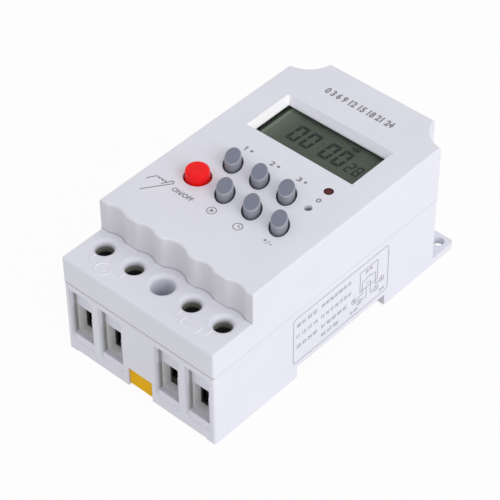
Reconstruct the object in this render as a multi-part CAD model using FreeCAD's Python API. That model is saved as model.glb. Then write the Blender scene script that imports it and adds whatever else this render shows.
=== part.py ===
import FreeCAD, Part

# Digital timer switch in a two-part casing for a 35 mm rail or a wall, lying on its back.
# Millimetres. X runs across, Y from the terminals to the display, Z up out of the panel.
# The origin is the bottom centre of the whole part.

import math
import os

from FreeCAD import Vector

# Casing
casing_width = 65.0
casing_length = 118.5
panel_height = 52.5
shroud_height = 40.2
seam_height = 30.2
step_line = 17.9
wall = 2.0
roof = 2.0
outer_round = 0.7
corner_round = 0.8
notch_across = 10.0
notch_along = 9.5
notch_radius = 11.0
scoop_depth = 2.1
side_scoop_depth = 1.25
scoop_round = 3.6

# Base
base_side_inset = 0.1
base_front_inset = 0.1
base_floor = 2.0
foot_height = 0.5
foot_width = 3.6
entry_wall = 6.8
seam_bevel = 0.2

# Rail channel across the back
channel_start = 39.0
channel_width = 44.1
channel_depth = 4.8
rail_width = 35.0
rail_thickness = 1.0
rail_play = 0.3
hook_width = 12.0
hook_spacing = 34.0
hook_overlap = 1.4
hook_thickness = 1.4

# Fixing ears
ear_reach = 2.1
ear_thickness = 2.9
ear_hole_radius = 2.1
ear_hole_side_inset = 3.9
ear_hole_end_inset = 1.5
ear_round = 1.3
ear_root = 1.5

# Centre fixing hole
centre_bore_radius = 3.9
fixing_hole_radius = 2.25
centre_tube_wall = 1.4

# Terminals
inner_terminal_shift = 0.4
outer_terminal_inset = 7.1
screw_line = 12.2
driver_hole_radius = 3.15
driver_hole_round = 1.6
driver_tube_wall = 1.2
entry_half_width = 4.3
entry_top = 27.3
entry_bottom = 4.4
entry_lip_round = 1.0
entry_corner_round = 2.4
apron_depth = 2.3
apron_bottom = 19.5
sill_depth = 0.3
mouth_floor = 7.8
throat_floor = 7.0
throat_half_width = 4.2
partition = 1.6
back_wall = 1.2
cage_play = 0.4

# Clamp cages, bars and terminal screws
cage_width = 8.2
cage_length = 8.0
cage_wall = 1.2
cage_floor = 8.4
cage_top_wall = 2.4
cage_rise = 6.5
bar_underside = 19.2
bar_thickness = 1.2
bar_width = 5.2
bar_side_play = 0.3
bar_inset = 0.5
bar_leg_inset = 2.0
bar_foot = 3.6
screw_radius = 2.0
thread_clearance = 0.05
screw_head_radius = 3.6
screw_head_height = 2.6
screw_slot_width = 0.9
screw_slot_depth = 1.2
screw_head_bevel = 0.4
screw_foot_gap = 0.1
screw_head_gap = 0.3

# Rail clip
clip_travel = 4.5
clip_tab_half_width = 5.0
clip_tab_top = 8.4
clip_tab_depth = 5.6
clip_tab_inset = 0.6
clip_half_width = 8.0
clip_thickness = 2.2
clip_bottom = 1.4
clip_play = 0.3
clip_overlap = 1.3
nose_bevel = 0.8
clip_guide_lip = 1.8
guide_wall = 2.4
spring_radius = 1.9
spring_wire = 0.5
spring_turns = 6
spring_length = 12.0
spring_axis_height = 3.7
spring_samples = 9
pusher_thickness = 1.6
boss_radius = 4.0

# Control panel
key_half_length = 4.35
key_half_width = 2.7
key_end_gap = 0.85
key_side_gap = 0.65
key_lean = 33.0
key_height = 3.3
key_pitch = 11.45
upper_row_x = -1.2
upper_row_y = 58.6
lower_row_x = 6.55
lower_row_y = 46.3
key_edge_round = 0.5
key_travel = 0.5
flange_margin = 1.1
flange_thickness = 1.0
flange_gap = 0.4
stem_radius = 2.0
button_radius = 4.0
button_gap = 0.75
button_height = 3.5
button_edge_round = 0.9
button_x = -16.7
button_y = 46.3
reset_radius = 1.1
reset_gap = 0.3
reset_depth = 1.2
reset_x = 19.3
reset_y = 58.5
led_radius = 1.5
led_gap = 0.1
led_below_panel = 0.1
led_tip_round = 0.3
led_side_inset = 13.4
led_y = 68.7
led_length = 5.3
led_flange_radius = 1.9
led_flange_thickness = 1.0
led_leg_spacing = 2.54
led_leg_radius = 0.3

# Display
bezel_width = 45.0
bezel_length = 20.8
bezel_y = 86.5
bezel_depth = 2.6
bezel_inset_x = 1.5
bezel_inset_y = 1.6
bezel_frame_margin = 4.0
bezel_lip = 0.5
window_thickness = 0.9
window_margin = 1.6
cell_below_window = 0.2
cell_thickness = 1.9
cell_margin = 2.0
holder_wall = 1.6
holder_ledge = 1.6
zebra_width = 1.8
zebra_inset = 2.6
holder_play = 0.15

# Boards
board_thickness = 1.6
display_board_top = 42.0
display_board_side_gap = 2.5
display_board_start = 29.5
display_board_end = 101.0
power_board_bottom = 12.0
power_board_side_gap = 2.25
power_board_start = 28.0
power_board_end = 100.0
board_hole_gap = 0.05
post_radius = 2.6
display_post_inset = 3.0
display_post_near_y = 33.0
display_post_far_y = 67.0
power_post_shift = 0.15
power_post_near_y = 34.0
power_post_far_y = 95.0
board_screw_radius = 1.25
board_screw_head_radius = 2.3
board_screw_head_height = 1.5
board_screw_length = 7.0

# Push switches
switch_size = 6.0
switch_height = 3.4
plunger_radius = 1.7
plunger_rise = 0.8
plunger_clearance = 0.05
plunger_foot_gap = 0.1
well_depth = 1.6

# Casing screws
casing_near_y = 23.4
casing_far_inset = 6.2
casing_far_y = 104.5
casing_boss_radius = 3.1
casing_screw_radius = 1.35
casing_screw_gap = 0.2
casing_head_gap = 0.3
casing_socket_wall = 1.0
casing_head_radius = 2.6
casing_head_height = 2.0
casing_head_sink = 1.0
casing_socket_top = 14.0
casing_screw_bite = 18.0
casing_boss_gap = 0.1

# Cross in the small screws, its span as a part of the head's radius
cross_width = 0.7
cross_depth = 0.8
cross_span = 1.2

# Parts on the boards
relay_width = 27.5
relay_length = 32.0
relay_height = 20.0
relay_x = 10.0
relay_y = 62.0
dropper_width = 10.0
dropper_length = 26.0
dropper_height = 18.0
dropper_x = -15.0
dropper_y = 56.0
smoothing_radius = 5.0
smoothing_height = 16.0
smoothing_x = -15.0
smoothing_y = 82.0
component_round = 1.0
vent_width = 0.3
wire_radius = 0.35
varistor_radius = 5.0
varistor_lift = 1.5
varistor_thickness = 4.0
varistor_x = 0.0
varistor_y = 37.0
diode_radius = 1.3
diode_length = 5.0
diode_lift = 1.0
diode_lead = 2.0
diode_leg = 0.5
diode_count = 4
diode_pitch = 5.0
diode_x = 2.0
diode_y = 88.0
controller_size = 14.0
controller_height = 1.6
leads_per_side = 11
lead_pitch = 1.1
lead_width = 0.4
lead_length = 1.0
lead_height = 0.5
controller_x = -8.0
controller_y = 60.0
crystal_radius = 1.0
crystal_length = 6.0
crystal_x = 8.0
crystal_y = 60.0
battery_radius = 10.0
battery_height = 3.2
battery_x = 8.0
battery_y = 84.0
battery_play = 0.2
battery_clip_wall = 1.2
battery_slot_width = 10.0
ribbon_width = 15.0
ribbon_thickness = 1.0
ribbon_wires = 6
ribbon_edge_gap = 3.0
ribbon_y = 82.0

# Worked out from the sizes above
half_width = casing_width / 2
front_y = -(casing_length + ear_reach) / 2
wall_top = panel_height - roof
shroud_top = shroud_height - roof
base_half = half_width - base_side_inset
base_far = casing_length - base_side_inset
channel_end = channel_start + channel_width
channel_roof = channel_depth + base_floor
hook_top = channel_depth - rail_thickness - rail_play
guide_top = spring_axis_height + spring_radius + guide_wall
casing_seat = foot_height + casing_head_sink + casing_head_height
outer_terminal_x = half_width - outer_terminal_inset
inner_terminal_x = outer_terminal_x / 2 - inner_terminal_shift
between_terminals = (inner_terminal_x + outer_terminal_x) / 2
led_x = half_width - led_side_inset
power_post_x = between_terminals + power_post_shift
casing_far_x = half_width - casing_far_inset
ear_hole_x = half_width - ear_hole_side_inset
ear_hole_y = casing_length - ear_hole_end_inset
display_board_width = 2 * (half_width - wall - display_board_side_gap)
power_board_width = 2 * (base_half - wall - power_board_side_gap)
display_post_x = display_board_width / 2 - display_post_inset
ribbon_x = ribbon_edge_gap - power_board_width / 2
terminals = [-outer_terminal_x, -inner_terminal_x, inner_terminal_x, outer_terminal_x]
display_board_bottom = display_board_top - board_thickness
power_board_top = power_board_bottom + board_thickness
switch_top = display_board_top + switch_height
plunger_top = switch_top + plunger_rise
window_top = panel_height - bezel_depth - bezel_lip
view_width = bezel_width - 2 * bezel_inset_x
view_length = bezel_length - 2 * bezel_inset_y
cell_top = window_top - window_thickness - cell_below_window
boss_bottom = casing_socket_top + casing_boss_gap
step_inside = step_line + scoop_depth + wall
cage_inner_low = cage_floor + cage_wall
cage_inner_high = bar_underside + bar_thickness + bar_side_play
cage_top = cage_inner_high + cage_top_wall
screw_head_low = cage_top + cage_rise + screw_foot_gap
screw_head_top = screw_head_low + screw_head_height

# Two heights or places closer than this count as one
close = 1e-3

# How far a cutting tool runs past the face that it opens
past = 1.0

os.makedirs("parts", exist_ok=True)


def at(x, y, z):
    """A point, with y measured from the front face of the casing."""
    return Vector(x, front_y + y, z)


def box(x0, x1, y0, y1, z0, z1):
    return Part.makeBox(x1 - x0, y1 - y0, z1 - z0, at(x0, y0, z0))


def mid_box(x, y, width, length, z0, z1):
    return box(x - width / 2, x + width / 2, y - length / 2, y + length / 2, z0, z1)


def rod(x, y, z0, z1, radius):
    return Part.makeCylinder(radius, z1 - z0, at(x, y, z0))


def oval(x, y, z0, z1, half_length, half_width):
    """An upright column with an elliptical section, whose long way leans over to the left."""
    ellipse = Part.Ellipse(Vector(0, 0, 0), half_length, half_width)
    face = Part.Face(Part.Wire(ellipse.toShape()))
    face.rotate(Vector(0, 0, 0), Vector(0, 0, 1), 90 + key_lean)
    face.translate(at(x, y, z0))
    return face.extrude(Vector(0, 0, z1 - z0))


def joined(solid, *others):
    return solid.multiFuse(list(others)).removeSplitter()


def upright_edges(solid):
    return [edge for edge in solid.Edges if is_upright(edge)]


def is_upright(edge):
    return edge.Curve.TypeId == "Part::GeomLine" and abs(edge.tangentAt(edge.FirstParameter).z) > 0.999


def edges_on_line(solid, y):
    """The upright edges that stand at one distance from the front face."""
    return [edge for edge in upright_edges(solid) if abs(edge.Vertexes[0].Point.y - front_y - y) < 1e-4]


def edges_at_height(solid, z):
    """The edges that lie wholly at one height."""
    found = []
    for edge in solid.Edges:
        span = edge.BoundBox
        if abs(span.ZMin - z) < 1e-4 and abs(span.ZMax - z) < 1e-4:
            found.append(edge)
    return found


def write(name, shape):
    if shape.isNull() or not shape.isValid():
        raise ValueError(name + " isn't a valid shape")
    shape.exportStep("parts/" + name + ".step")


def notched_outline(half, near, far, scoops):
    """The casing seen from above: two concave far corners and, on the panel, a scalloped near edge."""
    corner_x = half - notch_across
    corner_y = far - notch_along
    chord = math.hypot(notch_across, notch_along)
    sag = notch_radius - math.sqrt(notch_radius ** 2 - (chord / 2) ** 2)
    hollow_x = (half + corner_x) / 2 - sag * notch_along / chord
    hollow_y = (far + corner_y) / 2 - sag * notch_across / chord
    edges = []
    if scoops:
        edges.extend(scalloped_edge(half, near))
    else:
        edges.append(Part.makeLine(at(-half, near, 0), at(half, near, 0)))
    edges.append(Part.makeLine(at(half, near, 0), at(half, corner_y, 0)))
    right_notch = Part.Arc(at(half, corner_y, 0), at(hollow_x, hollow_y, 0), at(corner_x, far, 0))
    edges.append(right_notch.toShape())
    edges.append(Part.makeLine(at(corner_x, far, 0), at(-corner_x, far, 0)))
    left_notch = Part.Arc(at(-corner_x, far, 0), at(-hollow_x, hollow_y, 0), at(-half, corner_y, 0))
    edges.append(left_notch.toShape())
    edges.append(Part.makeLine(at(-half, corner_y, 0), at(-half, near, 0)))
    return Part.Face(Part.Wire(edges))


def scalloped_edge(half, near):
    """The panel's near edge: straight, with a hollow round each hole in the shroud."""
    edges = []
    start = -half
    for x in sorted(list(terminals) + [0.0]):
        depth = side_scoop_depth if x else scoop_depth
        reach = near - screw_line + depth
        spread = math.sqrt(reach ** 2 - (near - screw_line) ** 2)
        edges.append(Part.makeLine(at(start, near, 0), at(x - spread, near, 0)))
        hollow = Part.Arc(at(x - spread, near, 0), at(x, near + depth, 0), at(x + spread, near, 0))
        edges.append(hollow.toShape())
        start = x + spread
    edges.append(Part.makeLine(at(start, near, 0), at(half, near, 0)))
    return edges


def raised(face, z0, z1):
    lifted = face.copy()
    lifted.translate(Vector(0, 0, z0))
    return lifted.extrude(Vector(0, 0, z1 - z0))


def cover_outside():
    """Raised panel, scalloped step and terminal shroud as one solid block."""
    panel = raised(notched_outline(half_width, step_line, casing_length, True), seam_height, panel_height)
    waves = [e for e in edges_on_line(panel, step_line) if abs(e.Vertexes[0].Point.x) < half_width - past]
    panel = panel.makeFillet(scoop_round, waves)
    shroud = box(-half_width, half_width, 0, step_inside, seam_height, shroud_height)
    body = panel.fuse(shroud).removeSplitter()
    body = body.makeFillet(corner_round, edges_on_line(body, 0))
    body = body.makeFillet(outer_round, edges_at_height(body, panel_height))
    behind_step = front_y + step_line + close
    rim = [e for e in edges_at_height(body, shroud_height) if e.BoundBox.YMax < behind_step]
    return body.makeFillet(outer_round, rim)


def cover_room():
    """The space inside the cover, open underneath."""
    outline = notched_outline(half_width, step_line + scoop_depth, casing_length, False)
    room = raised(outline.makeOffset2D(-wall), seam_height - past, wall_top)
    inner_half = half_width - wall
    foyer = box(-inner_half, inner_half, wall, step_inside + past, seam_height - past, shroud_top)
    return room.fuse(foyer)


def cover_columns():
    """What hangs from the cover's roof: driver tubes, centre tube, board posts and screw bosses."""
    into_shroud = shroud_height - roof / 2
    into_panel = panel_height - roof / 2
    tube_radius = driver_hole_radius + driver_tube_wall
    tube_end = screw_head_top + screw_head_gap
    columns = [rod(x, screw_line, tube_end, into_shroud, tube_radius) for x in terminals]
    columns.append(rod(0, screw_line, seam_height, into_shroud, centre_bore_radius + centre_tube_wall))
    for x, y in display_posts():
        columns.append(rod(x, y, display_board_top, into_panel, post_radius))
    for x, y in casing_screw_places():
        columns.append(rod(x, y, boss_bottom, into_panel, casing_boss_radius))
    return columns


def panel_holes():
    """The holes in the panel for the keys, the button, the reset pin and the lamp."""
    low = wall_top - past
    high = panel_height + past
    holes = [oval(x, y, low, high, key_half_length + key_end_gap, key_half_width + key_side_gap)
             for x, y in key_places().values()]
    holes.append(rod(button_x, button_y, low, high, button_radius + button_gap))
    holes.append(rod(reset_x, reset_y, low, high, reset_radius + reset_gap))
    holes.append(rod(led_x, led_y, low, high, led_radius + led_gap))
    return holes


def top_cover():
    """The upper casing, with its columns, screw pilots, display recess and holes."""
    frame = mid_box(0, bezel_y, bezel_width + 2 * bezel_frame_margin, bezel_length + 2 * bezel_frame_margin,
                    window_top, panel_height - roof / 2)
    body = cover_outside().cut(cover_room())
    body = body.fuse(cover_columns() + [frame]).removeSplitter()
    for x in terminals:
        body = body.cut(rod(x, screw_line, seam_height, shroud_height + past, driver_hole_radius))
    body = body.cut(rod(0, screw_line, seam_height - past, shroud_height + past, centre_bore_radius))
    rims = [e for e in edges_at_height(body, shroud_height) if e.Curve.TypeId == "Part::GeomCircle"
            and abs(e.Curve.Center.y - front_y - screw_line) < close]
    body = body.makeFillet(driver_hole_round, rims)
    for x, y in display_posts():
        body = body.cut(rod(x, y, display_board_top - past, display_board_bottom + board_screw_length,
                            board_screw_radius + thread_clearance))
    for x, y in casing_screw_places():
        body = body.cut(rod(x, y, boss_bottom - past, casing_socket_top + casing_screw_bite,
                            casing_screw_radius + thread_clearance))
    return body.cut(panel_holes() + [bezel_funnel()])


def bezel_funnel():
    """The sloping recess round the display, with a short upright lip at its foot."""
    low = panel_height - bezel_depth
    wires = []
    for z, inset_x, inset_y in ((panel_height, 0, 0), (low, bezel_inset_x, bezel_inset_y)):
        half_x = bezel_width / 2 - inset_x
        half_y = bezel_length / 2 - inset_y
        points = [at(-half_x, bezel_y - half_y, z), at(half_x, bezel_y - half_y, z),
                  at(half_x, bezel_y + half_y, z), at(-half_x, bezel_y + half_y, z)]
        wires.append(Part.makePolygon(points + points[:1]))
    slope = Part.makeLoft(wires, True, True)
    lip = mid_box(0, bezel_y, view_width, view_length, window_top - past, low)
    return slope.fuse(lip)


def key_places():
    """Where the six grey keys stand."""
    return {
        "day": (upper_row_x - key_pitch, upper_row_y),
        "hour": (upper_row_x, upper_row_y),
        "minute": (upper_row_x + key_pitch, upper_row_y),
        "program": (lower_row_x - key_pitch, lower_row_y),
        "clock": (lower_row_x, lower_row_y),
        "recall": (lower_row_x + key_pitch, lower_row_y),
    }


def casing_screw_places():
    return mirrored([(between_terminals, casing_near_y), (casing_far_x, casing_far_y)])


def display_posts():
    return mirrored([(display_post_x, display_post_near_y), (display_post_x, display_post_far_y)])


def power_posts():
    return mirrored([(power_post_x, power_post_near_y), (power_post_x, power_post_far_y)])


def mirrored(places):
    return [(side * x, y) for side in (-1, 1) for x, y in places]


def oval_key(x, y):
    """A flat-topped oval key on a flange that keeps it in."""
    flange_top = wall_top - flange_gap
    flange_low = flange_top - flange_thickness
    top = panel_height + key_height
    column = oval(x, y, flange_low, top, key_half_length, key_half_width)
    column = column.makeFillet(key_edge_round, edges_at_height(column, top))
    flange = oval(x, y, flange_low, flange_top, key_half_length + key_end_gap + flange_margin,
                  key_half_width + key_side_gap + flange_margin)
    stem = rod(x, y, plunger_top, flange_low, stem_radius)
    return joined(column, flange, stem)


def manual_button():
    flange_top = wall_top - flange_gap
    head = rod(button_x, button_y, flange_top - flange_thickness, panel_height + button_height,
               button_radius)
    head = head.makeFillet(button_edge_round, edges_at_height(head, panel_height + button_height))
    flange = rod(button_x, button_y, flange_top - flange_thickness, flange_top,
                 button_radius + button_gap + flange_margin)
    stem = rod(button_x, button_y, plunger_top, flange_top - flange_thickness, stem_radius)
    return joined(head, flange, stem)


def reset_pin():
    flange_top = wall_top - flange_gap
    pin = rod(reset_x, reset_y, plunger_top, panel_height - reset_depth, reset_radius)
    flange = rod(reset_x, reset_y, flange_top - flange_thickness, flange_top,
                 reset_radius + reset_gap + flange_margin / 2)
    return joined(pin, flange)


def push_switch(x, y):
    """The fixed housing, with a well for its plunger."""
    housing = mid_box(x, y, switch_size, switch_size, display_board_top, switch_top)
    well_radius = plunger_radius + plunger_clearance
    return housing.cut(rod(x, y, switch_top - well_depth, switch_top + past, well_radius))


def switch_plunger(x, y):
    """The moving button of a switch, clear of the well's foot even when it is pushed home."""
    return rod(x, y, switch_top - well_depth + key_travel + plunger_foot_gap, plunger_top, plunger_radius)


def status_led():
    """A round lamp with a flat tip, a flange and two legs down to the board."""
    tip = panel_height - led_below_panel
    foot = tip - led_length
    body = rod(led_x, led_y, foot, tip, led_radius)
    body = body.makeFillet(led_tip_round, edges_at_height(body, tip))
    flange = rod(led_x, led_y, foot, foot + led_flange_thickness, led_flange_radius)
    legs = [rod(led_x + side * led_leg_spacing / 2, led_y, display_board_top, foot, led_leg_radius)
            for side in (-1, 1)]
    return joined(body, flange, *legs)


def display_window():
    return mid_box(0, bezel_y, view_width + 2 * window_margin, view_length + 2 * window_margin,
                   window_top - window_thickness, window_top)


def cell_size():
    return (view_width + 2 * cell_margin, view_length + 2 * cell_margin)


def lcd_cell():
    width, length = cell_size()
    return mid_box(0, bezel_y, width, length, cell_top - cell_thickness, cell_top)


def lcd_holder():
    """A frame on the board that carries the cell on a ledge."""
    width, length = cell_size()
    around = 2 * (holder_play + holder_wall)
    outside = mid_box(0, bezel_y, width + around, length + around, display_board_top, cell_top)
    seat = mid_box(0, bezel_y, width + 2 * holder_play, length + 2 * holder_play, cell_top - cell_thickness,
                   cell_top + past)
    well = mid_box(0, bezel_y, width - 2 * holder_ledge, length - 2 * holder_ledge,
                   display_board_top - past, cell_top)
    return outside.cut(seat).cut(well)


def zebra_strip(side):
    width, length = cell_size()
    y = bezel_y + side * (length / 2 - holder_ledge - zebra_width / 2 - holder_play)
    return mid_box(0, y, width - 2 * zebra_inset, zebra_width, display_board_top, cell_top - cell_thickness)


def base_outside():
    """The lower casing as one solid block, with its feet and ears."""
    outline = notched_outline(base_half, base_front_inset, base_far, False)
    body = raised(outline, foot_height, seam_height)
    body = body.makeFillet(corner_round, edges_on_line(body, base_front_inset))
    body = body.makeChamfer(seam_bevel, edges_at_height(body, seam_height))
    sole = raised(outline, 0, base_floor)
    sole = sole.makeFillet(corner_round, edges_on_line(sole, base_front_inset))
    feet = []
    for side in (-1, 1):
        x0, x1 = sorted((side * (base_half + past), side * (base_half - foot_width)))
        feet.append(sole.common(box(x0, x1, -past, base_far - notch_along, -past, base_floor)))
    return body.fuse(feet + [ear(-1), ear(1)])


def base_blocks():
    """What stands on the base's floor: clip guide, channel roof, centre tube, terminal walls and posts."""
    guide_half = clip_half_width + guide_wall
    porch_half = clip_tab_half_width + guide_wall
    near = base_front_inset + corner_round
    inside_wall = base_half - wall / 2
    blocks = [
        box(-inside_wall, inside_wall, channel_start - wall, channel_end + wall, foot_height, channel_roof),
        box(-guide_half, guide_half, near, channel_start, foot_height, guide_top),
        box(-porch_half, porch_half, near, clip_tab_inset + clip_tab_depth + guide_wall, foot_height,
            clip_tab_top + guide_wall),
        rod(0, screw_line, foot_height, seam_height, centre_bore_radius + centre_tube_wall),
        terminal_walls(-1),
        terminal_walls(1),
    ]
    for x, y in power_posts():
        blocks.append(rod(x, y, foot_height, power_board_bottom, post_radius))
    for x, y in casing_screw_places():
        blocks.append(rod(x, y, foot_height, casing_socket_top, casing_boss_radius + casing_socket_wall))
    return blocks


def base():
    """Lower casing with wire entries, clip guide, rail channel, hooks and ears."""
    outline = notched_outline(base_half, entry_wall - wall, base_far, False)
    room = raised(outline.makeOffset2D(-wall), foot_height + base_floor, seam_height + past)
    body = base_outside().cut(room).fuse(base_blocks())
    body = body.cut(box(-casing_width, casing_width, channel_start, channel_end, -past, channel_depth))
    body = body.fuse(rail_hooks()).cut(clip_guide())
    boss_top = clip_bottom + clip_thickness + 2 * clip_play
    body = body.fuse(rod(0, screw_line, foot_height, boss_top, boss_radius))
    holes = [
        rod(0, screw_line, foot_height - past, seam_height, fixing_hole_radius),
        rod(0, screw_line, guide_top, seam_height + past, centre_bore_radius),
    ]
    for x in terminals:
        holes.append(wire_entry(x))
    for x, y in power_posts():
        holes.append(rod(x, y, power_board_top - board_screw_length, power_board_bottom + past,
                         board_screw_radius + thread_clearance))
    for x, y in casing_screw_places():
        holes.append(rod(x, y, foot_height - past, seam_height, casing_screw_radius + casing_screw_gap))
        holes.append(rod(x, y, -past, casing_seat, casing_head_radius + casing_head_gap))
    return body.cut(holes).removeSplitter()


def terminal_walls(side):
    """A wall between two terminals, one behind them that carries their bars, and a rib under each cage."""
    near = screw_line + cage_length / 2 + cage_play
    middle = side * between_terminals
    between = box(middle - partition / 2, middle + partition / 2, entry_wall - past, near + back_wall,
                  foot_height, seam_height - past)
    x0, x1 = sorted((side * (clip_half_width - guide_wall), side * (base_half - wall / 2)))
    behind = box(x0, x1, near, near + back_wall, foot_height, bar_underside)
    beds = [mid_box(side * x, screw_line, cage_width, partition, foot_height, cage_floor)
            for x in (inner_terminal_x, outer_terminal_x)]
    return between.fuse([behind] + beds)


def wire_entry(x):
    """One wire entry: a recess with rounded sides, a flat apron over the mouth and a funnel to the clamp."""
    face = base_front_inset
    left = x - entry_half_width
    right = x + entry_half_width
    apron = box(left, right, face - past, face + apron_depth, apron_bottom, entry_top)
    sill = box(left, right, face - past, face + sill_depth, entry_bottom, apron_bottom)
    wires = []
    for y, half, low in ((face + sill_depth, entry_half_width, mouth_floor),
                         (entry_wall, throat_half_width, throat_floor)):
        points = [at(x - half, y, low), at(x + half, y, low),
                  at(x + half, y, apron_bottom), at(x - half, y, apron_bottom)]
        wires.append(Part.makePolygon(points + points[:1]))
    funnel = Part.makeLoft(wires, True, True)
    recess = apron.fuse([sill, entry_flare(x, 1), entry_flare(x, -1)])
    return recess.common(entry_outline(x)).fuse(funnel)


def entry_outline(x):
    """The space in front of an entry, whose upper corners are round."""
    reach = entry_half_width + entry_lip_round
    block = box(x - reach, x + reach, -past, entry_wall, 0, entry_top)
    corners = [e for e in edges_at_height(block, entry_top) if e.BoundBox.XLength < close]
    return block.makeFillet(entry_corner_round, corners)


def entry_flare(x, side):
    """What the rounded side of a wire entry leaves out, deep beside the mouth and shallow below."""
    face = base_front_inset
    edge = x + side * entry_half_width
    outer = edge + side * entry_lip_round
    x0, x1 = sorted((edge - side * past, outer))
    upper = box(x0, x1, face - past, face + entry_lip_round, mouth_floor, entry_top)
    lower = box(x0, x1, face - past, face + sill_depth, entry_bottom, mouth_floor)
    rounding = rod(outer, face + entry_lip_round, entry_bottom - past, entry_top + past, entry_lip_round)
    inner = box(min(edge, edge - 2 * side * past), max(edge, edge - 2 * side * past), face + sill_depth,
                face + entry_wall, entry_bottom - past, apron_bottom)
    return upper.fuse(lower).cut([rounding, inner])


def rail_hooks():
    """Two fixed lips on the far side of the channel, under which the rail's edge slips."""
    tip = rail_far_edge() - hook_overlap
    root = channel_end + past
    hooks = [mid_box(side * hook_spacing / 2, (tip + root) / 2, hook_width, root - tip,
                     hook_top - hook_thickness, hook_top) for side in (-1, 1)]
    return hooks[0].fuse(hooks[1])


def rail_far_edge():
    """The rail lies with this edge under the hooks and the clip's nose under its other edge."""
    return channel_start + (channel_width + rail_width) / 2


def clip_guide():
    """What the base leaves free for the clip and its spring; only its mouth shows in the front."""
    low = clip_bottom - clip_play
    high = clip_bottom + clip_thickness + clip_play
    slot_half = clip_half_width + clip_play
    track = box(-slot_half, slot_half, track_start() - clip_travel, channel_start + past, low, high)
    lip_half = slot_half - clip_guide_lip
    opening = box(-lip_half, lip_half, clip_tab_inset + clip_tab_depth, channel_start + past, -past, high)
    tab_half = clip_tab_half_width + clip_play
    mouth = box(-tab_half, tab_half, 0, clip_tab_inset + clip_tab_depth + 2 * clip_play, -past,
                clip_tab_top + clip_play)
    near = screw_line + boss_radius
    pocket_half = spring_radius + 2 * clip_play
    pocket_far = near + clip_play + spring_length + pusher_thickness + clip_play
    pocket = box(-pocket_half, pocket_half, near, pocket_far, low,
                 spring_axis_height + spring_radius + clip_play)
    return track.fuse([opening, mouth, pocket])


def ear(side):
    """A fixing ear that fills the foot of a corner notch, drilled for a screw."""
    x0, x1 = sorted((side * (base_half - notch_across - ear_root), side * base_half))
    far = casing_length + ear_reach
    plate = box(x0, x1, casing_length - notch_along - ear_root, far, 0, ear_thickness)
    plate = plate.makeFillet(ear_round, edges_on_line(plate, far))
    return plate.cut(rod(side * ear_hole_x, ear_hole_y, -past, ear_thickness + past, ear_hole_radius))


def rail_clip():
    """Yellow clip: a front tab, a slider slotted round the centre boss, a face for the spring and a nose."""
    high = clip_bottom + clip_thickness
    half = clip_tab_half_width
    tab = box(-half, half, base_front_inset + clip_tab_inset, clip_tab_inset + clip_tab_depth, clip_bottom,
              clip_tab_top)
    neck = box(-half, half, clip_tab_depth, track_start() + past, clip_bottom, high)
    slider = box(-clip_half_width, clip_half_width, track_start(), channel_start - clip_play, clip_bottom,
                 high)
    nose = box(-half, half, channel_start - clip_travel, nose_end(), clip_bottom, hook_top)
    tip = [e for e in edges_at_height(nose, clip_bottom) if e.BoundBox.YMin > front_y + nose_end() - close]
    nose = nose.makeChamfer(nose_bevel, tip)
    body = joined(tab, neck, slider, nose)
    boss_room = boss_radius + clip_play
    push_face = screw_line + boss_room + spring_length
    slot = box(-boss_room, boss_room, screw_line - boss_room, screw_line + boss_room + clip_travel,
               clip_bottom - past, high + past)
    coil_slot = box(-spring_radius - clip_play, spring_radius + clip_play, screw_line, push_face,
                    clip_bottom - past, high + past)
    pusher = box(-spring_radius, spring_radius, push_face, push_face + pusher_thickness, clip_bottom,
                 spring_axis_height + spring_radius)
    return joined(body.cut(slot).cut(coil_slot), pusher)


def track_start():
    """Where the slider's wide part begins behind the front tab."""
    return clip_tab_inset + clip_tab_depth + clip_travel / 4


def nose_end():
    """How far the clip's nose reaches under the rail's near edge."""
    return rail_far_edge() - rail_width + clip_overlap


def bent_pair(start, start_way, end, end_way):
    """Two arcs that leave start along start_way and reach end along end_way, meeting smoothly."""
    across = end - start
    ways = start_way + end_way
    turn = 2 * (1 - start_way.dot(end_way))
    lead = (math.sqrt(across.dot(ways) ** 2 + turn * across.dot(across)) - across.dot(ways)) / turn
    first_corner = start + start_way * lead
    second_corner = end - end_way * lead
    join = (first_corner + second_corner) / 2
    return [smooth_arc(start, first_corner, join), smooth_arc(join, second_corner, end)]


def smooth_arc(start, corner, end):
    """The arc from start to end that touches both lines through corner."""
    middle = (start + end) / 2
    rise = (corner - middle).Length
    half = (end - start).Length / 2
    bulge = half * math.tan(math.atan(rise / half) / 2)
    return Part.Arc(start, middle + (corner - middle) * (bulge / rise), end).toShape()


def clip_spring():
    """A compression spring between the centre boss and the clip's push face, wound in quarter turns."""
    turn_radius = spring_radius - spring_wire / 2
    near = screw_line + boss_radius + clip_play + spring_wire / 2
    climb = (spring_length - spring_wire) / spring_turns / (2 * math.pi)
    quarters = 4 * spring_turns

    def place(angle):
        return at(turn_radius * math.cos(angle), near + climb * angle,
                  spring_axis_height + turn_radius * math.sin(angle))

    def way(angle):
        along = Vector(-turn_radius * math.sin(angle), climb, turn_radius * math.cos(angle))
        return along.normalize()

    edges = []
    for quarter in range(quarters):
        before = quarter * math.pi / 2
        after = before + math.pi / 2
        edges = edges + bent_pair(place(before), way(before), place(after), way(after))
    section = Part.Wire(Part.makeCircle(spring_wire / 2, place(0), way(0)))
    points = [place(step * math.pi / 2 / spring_samples) for step in range(spring_samples * quarters + 1)]
    apart = min((q - p).Length for i, p in enumerate(points) for q in points[i + 2 * spring_samples:])
    print("Spring: least gap between turns %.2f mm" % (apart - spring_wire))
    return Part.Wire(edges).makePipeShell([section], True, False)


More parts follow.
